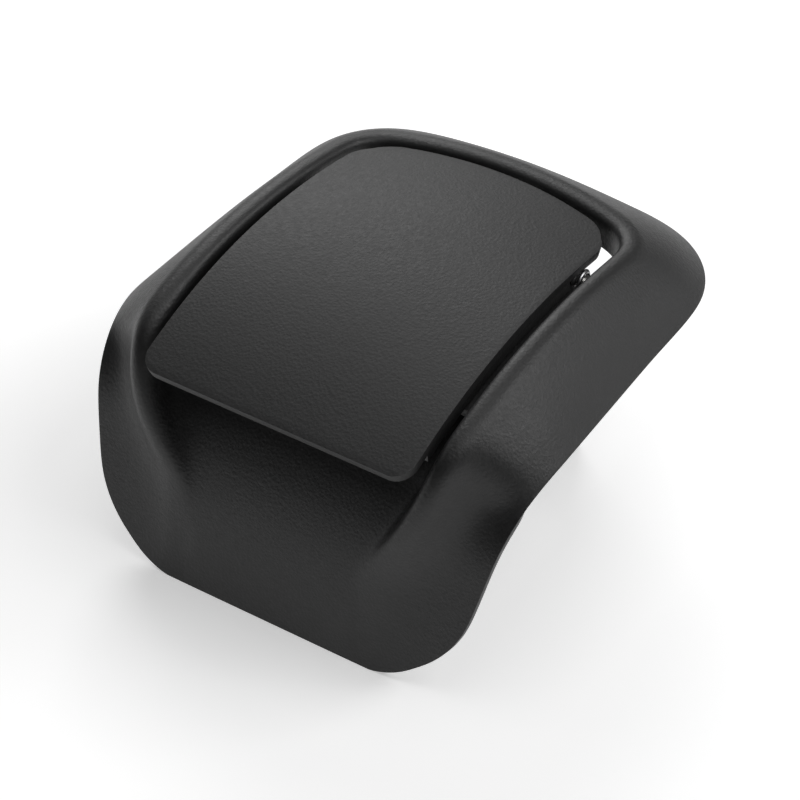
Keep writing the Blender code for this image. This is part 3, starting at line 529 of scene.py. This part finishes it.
def mesh_from(name, built):
    """Turns mesh code's work into a mesh, and lets the work go."""
    mesh = bpy.data.meshes.new(name)
    built.to_mesh(mesh)
    built.free()
    return mesh


def stand(name, data):
    """Puts a new object with a mesh, curve, lamp or camera into the scene."""
    thing = bpy.data.objects.new(name, data)
    bpy.context.scene.collection.objects.link(thing)
    return thing


def fine_object(name, cage, place):
    """Turns half a cage into a whole piece at its place."""
    mesh = mesh_from(name, cage)
    mesh.shade_smooth()
    piece = stand(name, mesh)
    piece.location = place
    mirror = piece.modifiers.new("mirror", "MIRROR")
    mirror.merge_threshold = MIDDLE_WELD
    return piece


def thicken(piece, thickness):
    """Gives a skin its thickness, inward."""
    wall = piece.modifiers.new("wall", "SOLIDIFY")
    wall.thickness = thickness
    wall.offset = -1
    wall.use_even_offset = True
    return wall


def round_edges(piece, width, segments):
    """Rounds the sharp edges."""
    rounding = piece.modifiers.new("rounding", "BEVEL")
    rounding.width = width
    rounding.segments = segments
    rounding.limit_method = "ANGLE"
    rounding.angle_limit = SHARP_TURN
    rounding.harden_normals = False


def fine_housing(place):
    """The housing's skin, with a finer surface than the solid's, a level foot and a rounded rim."""
    draft = fine_object("housing_draft", skin_cage(), place)
    smoothing = draft.modifiers.new("smoothing", "SUBSURF")
    smoothing.levels = FINE_LEVELS
    smoothing.render_levels = FINE_LEVELS
    draft.vertex_groups.new(name="wall_share")
    thicken(draft, SKIN).vertex_group = "wall_share"
    built = evaluated(draft)
    bpy.data.objects.remove(draft)
    foot = place + Vector((0, 0, FOOT_TRIM))
    everything = built.verts[:] + built.edges[:] + built.faces[:]
    cut = bmesh.ops.bisect_plane(built, geom=everything, plane_co=foot, plane_no=(0, 0, -1), clear_outer=True)
    edges = [item for item in cut["geom_cut"] if isinstance(item, bmesh.types.BMEdge)]
    bmesh.ops.holes_fill(built, edges=edges, sides=0)
    mesh = mesh_from("housing_skin", built)
    mesh.shade_smooth()
    skin = stand("housing_skin", mesh)
    round_edges(skin, RIM_ROUND, RIM_SEGMENTS)
    return skin


def fine_flap(place):
    """The flap's arched skin, finer than the solid's, with a round edge."""
    skin = fine_object("flap_skin", flap_cage(FINE_COLUMNS, FINE_ROWS), place)
    thicken(skin, FLAP_WALL)
    round_edges(skin, FLAP_EDGE_ROUND, FLAP_EDGE_SEGMENTS)
    return skin


def evaluated(piece):
    """A piece as its modifiers leave it, in the frame."""
    bpy.context.view_layer.update()
    shown = piece.evaluated_get(bpy.context.evaluated_depsgraph_get())
    built = bmesh.new()
    built.from_mesh(shown.to_mesh())
    shown.to_mesh_clear()
    built.transform(piece.matrix_world)
    return built


def inner_frame(name, node, skin):
    """What is moulded inside a skin: the node's own ribs and arms, rooted in the fine skin's wall."""
    outer = evaluated(skin)
    surface = BVHTree.FromBMesh(outer)
    outer.free()
    built = bmesh.new()
    built.from_mesh(node.data)
    rooted = set()
    for vertex in built.verts:
        nearest, normal, _, distance = surface.find_nearest(vertex.co)
        if distance > SKIN_REACH:
            continue
        rooted.add(vertex)
        _, _, _, depth = surface.ray_cast(nearest - normal * SURFACE_START, -normal)
        vertex.co = nearest - normal * min(depth or SKIN, SKIN) / 2
    hidden = [face for face in built.faces if all(vertex in rooted for vertex in face.verts)]
    bmesh.ops.delete(built, geom=hidden, context="FACES")
    bmesh.ops.dissolve_limit(built, angle_limit=FLAT_TURN, verts=built.verts, edges=built.edges)
    mesh = mesh_from(name, built)
    mesh.shade_flat()
    return stand(name, mesh)


def fine_pin(place):
    """The hinge pin, turned finer than the solid's."""
    y, z = hinge_centre()
    head_inner = KNUCKLE_X + KNUCKLE_WIDTH + FIT
    head_outer = head_inner + PIN_HEAD_LENGTH
    neck = PIN_RADIUS - PIN_CHAMFER
    crown = PIN_HEAD_RADIUS - PIN_CHAMFER
    profile = [(0, PIN_END_X), (neck, PIN_END_X), (PIN_RADIUS, PIN_END_X - PIN_CHAMFER), (PIN_RADIUS, -head_inner)]
    profile += [(PIN_HEAD_RADIUS, -head_inner), (PIN_HEAD_RADIUS, PIN_CHAMFER - head_outer)]
    profile += [(crown, -head_outer), (0, -head_outer)]
    mesh = bpy.data.meshes.new("pin_turned")
    edges = [(i, i + 1) for i in range(len(profile) - 1)]
    mesh.from_pydata([(out, 0, along) for out, along in profile], edges, [])
    pin = stand("pin_turned", mesh)
    pin.location = place + Vector((0, y, z))
    pin.rotation_euler = (0, math.pi / 2, 0)
    turning = pin.modifiers.new("turning", "SCREW")
    turning.steps = PIN_STEPS
    turning.render_steps = PIN_STEPS
    turning.use_merge_vertices = True
    turning.merge_threshold = WELD
    return pin


def fine_spring(place):
    """The return spring's wire, rounder than the solid's."""
    centre = hinge_centre()
    flap_y = HINGE_Y + SPRING_FLAP_REACH
    flap_end = (flap_y, flap_underside(COIL_X, flap_y) - FIT - WIRE_RADIUS * SPRING_FLAP_LIFT)
    beam_end = (HINGE_Y + SPRING_BEAM_REACH, BEAM_TOP + FIT + WIRE_RADIUS * SPRING_BEAM_LIFT)
    start = tangent_turn(centre, COIL_RADIUS, flap_end, 1)
    end = tangent_turn(centre, COIL_RADIUS, beam_end, -1) + 2 * math.pi * (COIL_TURNS + 1)
    steps = COIL_STEPS * (COIL_TURNS + 1)
    points = [(COIL_X, *flap_end)]
    for step in range(steps + 1):
        turn = start + (end - start) * step / steps
        along = COIL_X + COIL_PITCH * (turn - start) / (2 * math.pi)
        y = centre[0] + COIL_RADIUS * math.cos(turn)
        points.append((along, y, centre[1] + COIL_RADIUS * math.sin(turn)))
    points.append((points[-1][0], *beam_end))
    curve = bpy.data.curves.new("spring_wire", "CURVE")
    curve.dimensions = "3D"
    curve.bevel_depth = WIRE_RADIUS
    curve.bevel_resolution = WIRE_RESOLUTION
    curve.use_fill_caps = True
    line = curve.splines.new("POLY")
    line.points.add(len(points) - 1)
    for point, place_on in zip(line.points, points):
        point.co = (*place_on, 1)
    drawn = stand("spring_line", curve)
    drawn.location = place
    built = evaluated(drawn)
    bpy.data.objects.remove(drawn)
    bmesh.ops.remove_doubles(built, verts=built.verts, dist=WELD)
    mesh = mesh_from("spring_wire", built)
    mesh.shade_smooth()
    spring = stand("spring_wire", mesh)
    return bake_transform(spring)


class Nodes:
    """Short hand for a material's node tree."""

    def __init__(self, name):
        self.material = bpy.data.materials.new(name)
        self.material.use_nodes = True
        self.tree = self.material.node_tree
        self.shader = self.tree.nodes["Principled BSDF"]

    def add(self, kind, settings=None, **inputs):
        """Adds a node, and sets or links its inputs by name."""
        node = self.tree.nodes.new(kind)
        for key, value in (settings or {}).items():
            setattr(node, key, value)
        for key, value in inputs.items():
            self.feed(node.inputs[key.replace("_", " ")], value)
        return node

    def feed(self, socket, value):
        """Links a socket to another's output, or sets its value."""
        if isinstance(value, bpy.types.NodeSocket):
            self.tree.links.new(value, socket)
        else:
            socket.default_value = value

    def ramp(self, factor, stops):
        """A colour ramp between grey or coloured stops."""
        node = self.add("ShaderNodeValToRGB", Fac=factor)
        elements = node.color_ramp.elements
        while len(elements) < len(stops):
            elements.new(0.5)
        for element, (place, colour) in zip(elements, stops):
            element.position = place
            element.color = colour if isinstance(colour, tuple) else (colour, colour, colour, 1)
        return node.outputs["Color"]

    def scaled(self, value, low, high):
        """Carries 0 to 1 on to another range."""
        return self.add("ShaderNodeMapRange", Value=value, To_Min=low, To_Max=high).outputs["Result"]

    def noise(self, place, scale, detail, roughness):
        """Soft noise between 0 and 1."""
        settings = {"Vector": place, "Scale": scale, "Detail": detail, "Roughness": roughness}
        return self.add("ShaderNodeTexNoise", **settings).outputs["Fac"]

    def joined(self, operation, first, second):
        """Joins two values by a sum, the larger of both, or the like."""
        node = self.add("ShaderNodeMath", {"operation": operation})
        self.feed(node.inputs[0], first)
        self.feed(node.inputs[1], second)
        return node.outputs[0]

    def raised(self, height, strength, depth):
        """Lets a height show in the surface."""
        bump = self.add("ShaderNodeBump", Strength=strength, Distance=depth, Height=height)
        self.feed(self.shader.inputs["Normal"], bump.outputs["Normal"])


def tinted(colour, share, lift=0.0):
    """A lighter or darker tone of a colour, opaque."""
    return (*[part * share + lift for part in colour], 1)


def moulded_plastic(name, colour, roughness):
    """Injection moulded plastic: a fine spark-eroded grain, faint flow marks, and edges that hands have rubbed."""
    made = Nodes(name)
    place = made.add("ShaderNodeTexCoord").outputs["Object"]
    flow = made.noise(place, *FLOW_NOISE)
    speck = made.noise(place, *SPECK_NOISE)
    fine = made.noise(place, *FINE_NOISE)
    pits = made.add("ShaderNodeTexVoronoi", Vector=place, Scale=PIT_SCALE).outputs["Distance"]
    flow_tone = made.scaled(flow, -FLOW_REACH, FLOW_REACH)
    tone = made.joined("ADD", flow_tone, made.scaled(speck, *SPECK_RANGE))
    tones = [tinted(colour, share) for share in TONE_SHARES]
    body = made.ramp(tone, tuple(zip(TONE_RANGE, tones)))
    pointed = made.add("ShaderNodeNewGeometry").outputs["Pointiness"]
    rubbed = made.ramp(pointed, tuple(zip(RUBBED_RANGE, (0.0, 1.0))))
    edge = made.add("ShaderNodeMix", {"data_type": "RGBA"})
    made.feed(edge.inputs["Factor"], made.scaled(rubbed, 0.0, RUBBED_COVER))
    made.feed(edge.inputs[6], body)
    made.feed(edge.inputs[7], tinted(colour, RUBBED_SHARE, RUBBED_LIFT))
    made.feed(made.shader.inputs["Base Color"], edge.outputs[2])
    grain_rough = made.scaled(speck, roughness - ROUGHNESS_REACH, roughness + ROUGHNESS_REACH)
    rough = made.joined("ADD", grain_rough, made.scaled(rubbed, 0.0, RUBBED_POLISH))
    made.feed(made.shader.inputs["Roughness"], rough)
    made.raised(made.joined("ADD", pits, fine), GRAIN_STRENGTH, GRAIN_DEPTH)
    return made.material


def drawn_steel(name, colour, roughness, grain):
    """Bright steel with the fine lines of drawing, and a film of oil that dulls it in places."""
    made = Nodes(name)
    place = made.add("ShaderNodeTexCoord").outputs["Object"]
    stretched = made.add("ShaderNodeMapping", Vector=place, Scale=grain).outputs["Vector"]
    lines = made.noise(stretched, *LINE_NOISE)
    film = made.noise(place, *FILM_NOISE)
    tones = (tinted(colour, FILM_SHARE), (*colour, 1))
    made.feed(made.shader.inputs["Base Color"], made.ramp(film, tuple(zip(FILM_RANGE, tones))))
    low, high = LINE_ROUGHNESS
    made.feed(made.shader.inputs["Roughness"], made.scaled(lines, roughness + low, roughness + high))
    made.raised(lines, LINE_STRENGTH, LINE_DEPTH)
    made.shader.inputs["Metallic"].default_value = 1
    return made.material


def dress(piece, material, body, slot, *nodes):
    """Gives a piece its material and its body (unless it is blended), and hides what it stands for. The slot
    argument is not used.
    """
    piece.data.materials.clear()
    piece.data.materials.append(material)
    if body:
        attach(piece, body)
    if nodes:
        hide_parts(*nodes)


def build_pieces():
    """Every visible piece of the handle."""
    place = place_of_shape()
    housing_plastic = moulded_plastic("housing_moulding", HOUSING_COLOUR, HOUSING_ROUGHNESS)
    flap_plastic = moulded_plastic("flap_moulding", FLAP_COLOUR, FLAP_ROUGHNESS)
    pin_steel = drawn_steel("pin_drawn", PIN_COLOUR, PIN_ROUGHNESS, PIN_LINES)
    spring_steel = drawn_steel("spring_drawn", SPRING_COLOUR, SPRING_ROUGHNESS, SPRING_LINES)
    skin = fine_housing(place)
    inside = inner_frame("housing_inside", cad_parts["housing"], skin)
    dress(inside, housing_plastic, "housing_body", "housing_plastic")
    dress(skin, housing_plastic, "housing_body", "housing_plastic", "housing")
    cover = fine_flap(place)
    arms = inner_frame("flap_inside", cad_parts["flap"], cover)
    dress(arms, flap_plastic, "flap_body", "flap_plastic")
    dress(cover, flap_plastic, "flap_body", "flap_plastic", "flap")
    dress(fine_pin(place), pin_steel, "housing_body", "pin_steel", "hinge_pin")
    dress(fine_spring(place), spring_steel, None, "spring_steel", "return_spring")


def area_light(name, place, aim, width, power):
    """A soft square light."""
    lamp = bpy.data.lights.new(name, "AREA")
    lamp.size = width
    lamp.energy = power
    light = stand(name, lamp)
    light.location = place
    light.rotation_mode = "QUATERNION"
    light.rotation_quaternion = (Vector(aim) - Vector(place)).to_track_quat("-Z", "Y")


def floor_paper():
    """White paper, lifted a little where it is seen or mirrored, so that it stays white round the soft shadow."""
    paper = Nodes("floor_paper")
    paper.shader.inputs["Base Color"].default_value = FLOOR_COLOUR
    paper.shader.inputs["Roughness"].default_value = FLOOR_ROUGHNESS
    paper.shader.inputs["Specular IOR Level"].default_value = FLOOR_SPECULAR
    path = paper.add("ShaderNodeLightPath").outputs
    mirrored = paper.joined("MAXIMUM", path["Is Glossy Ray"], path["Is Transmission Ray"])
    seen = paper.joined("MAXIMUM", path["Is Camera Ray"], mirrored)
    paper.shader.inputs["Emission Color"].default_value = (1, 1, 1, 1)
    paper.feed(paper.shader.inputs["Emission Strength"], paper.scaled(seen, 0.0, FLOOR_LIFT))
    return paper.material


def build_studio():
    """A white floor under soft light, strongest from behind and above, weaker from the left."""
    world = bpy.data.worlds.new("studio")
    bpy.context.scene.world = world
    world.use_nodes = True
    background = world.node_tree.nodes["Background"]
    background.inputs["Color"].default_value = (1, 1, 1, 1)
    background.inputs["Strength"].default_value = AMBIENT
    built = bmesh.new()
    bmesh.ops.create_grid(built, x_segments=1, y_segments=1, size=FLOOR_SIZE)
    floor = stand("floor", mesh_from("floor", built))
    floor.data.materials.append(floor_paper())
    for name, place, width, power in LAMPS:
        area_light(name, place, LAMP_AIM, width, power)


def build_camera(place):
    """The camera stands where the photograph was taken from, turned so that the handle fills the frame."""
    level = math.cos(VIEW_ELEVATION)
    back = Vector((math.sin(VIEW_AZIMUTH) * level, -math.cos(VIEW_AZIMUTH) * level, math.sin(VIEW_ELEVATION)))
    right = Vector((math.cos(VIEW_AZIMUTH), math.sin(VIEW_AZIMUTH), 0))
    up = back.cross(right)
    centre = place + VIEW_CENTRE
    aim = centre + right * VIEW_AIM[0] + up * VIEW_AIM[1]
    lens = bpy.data.cameras.new("camera")
    lens.lens = VIEW_LENS
    lens.sensor_width = VIEW_SENSOR
    lens.clip_start = VIEW_CLIP
    camera = stand("camera", lens)
    camera.location = centre + back * VIEW_DISTANCE
    camera.rotation_mode = "QUATERNION"
    camera.rotation_quaternion = (aim - camera.location).to_track_quat("-Z", "Y")
    bpy.context.scene.camera = camera


build_pieces()
build_studio()
build_camera(place_of_shape())
bpy.context.scene.view_settings.view_transform = "Standard"
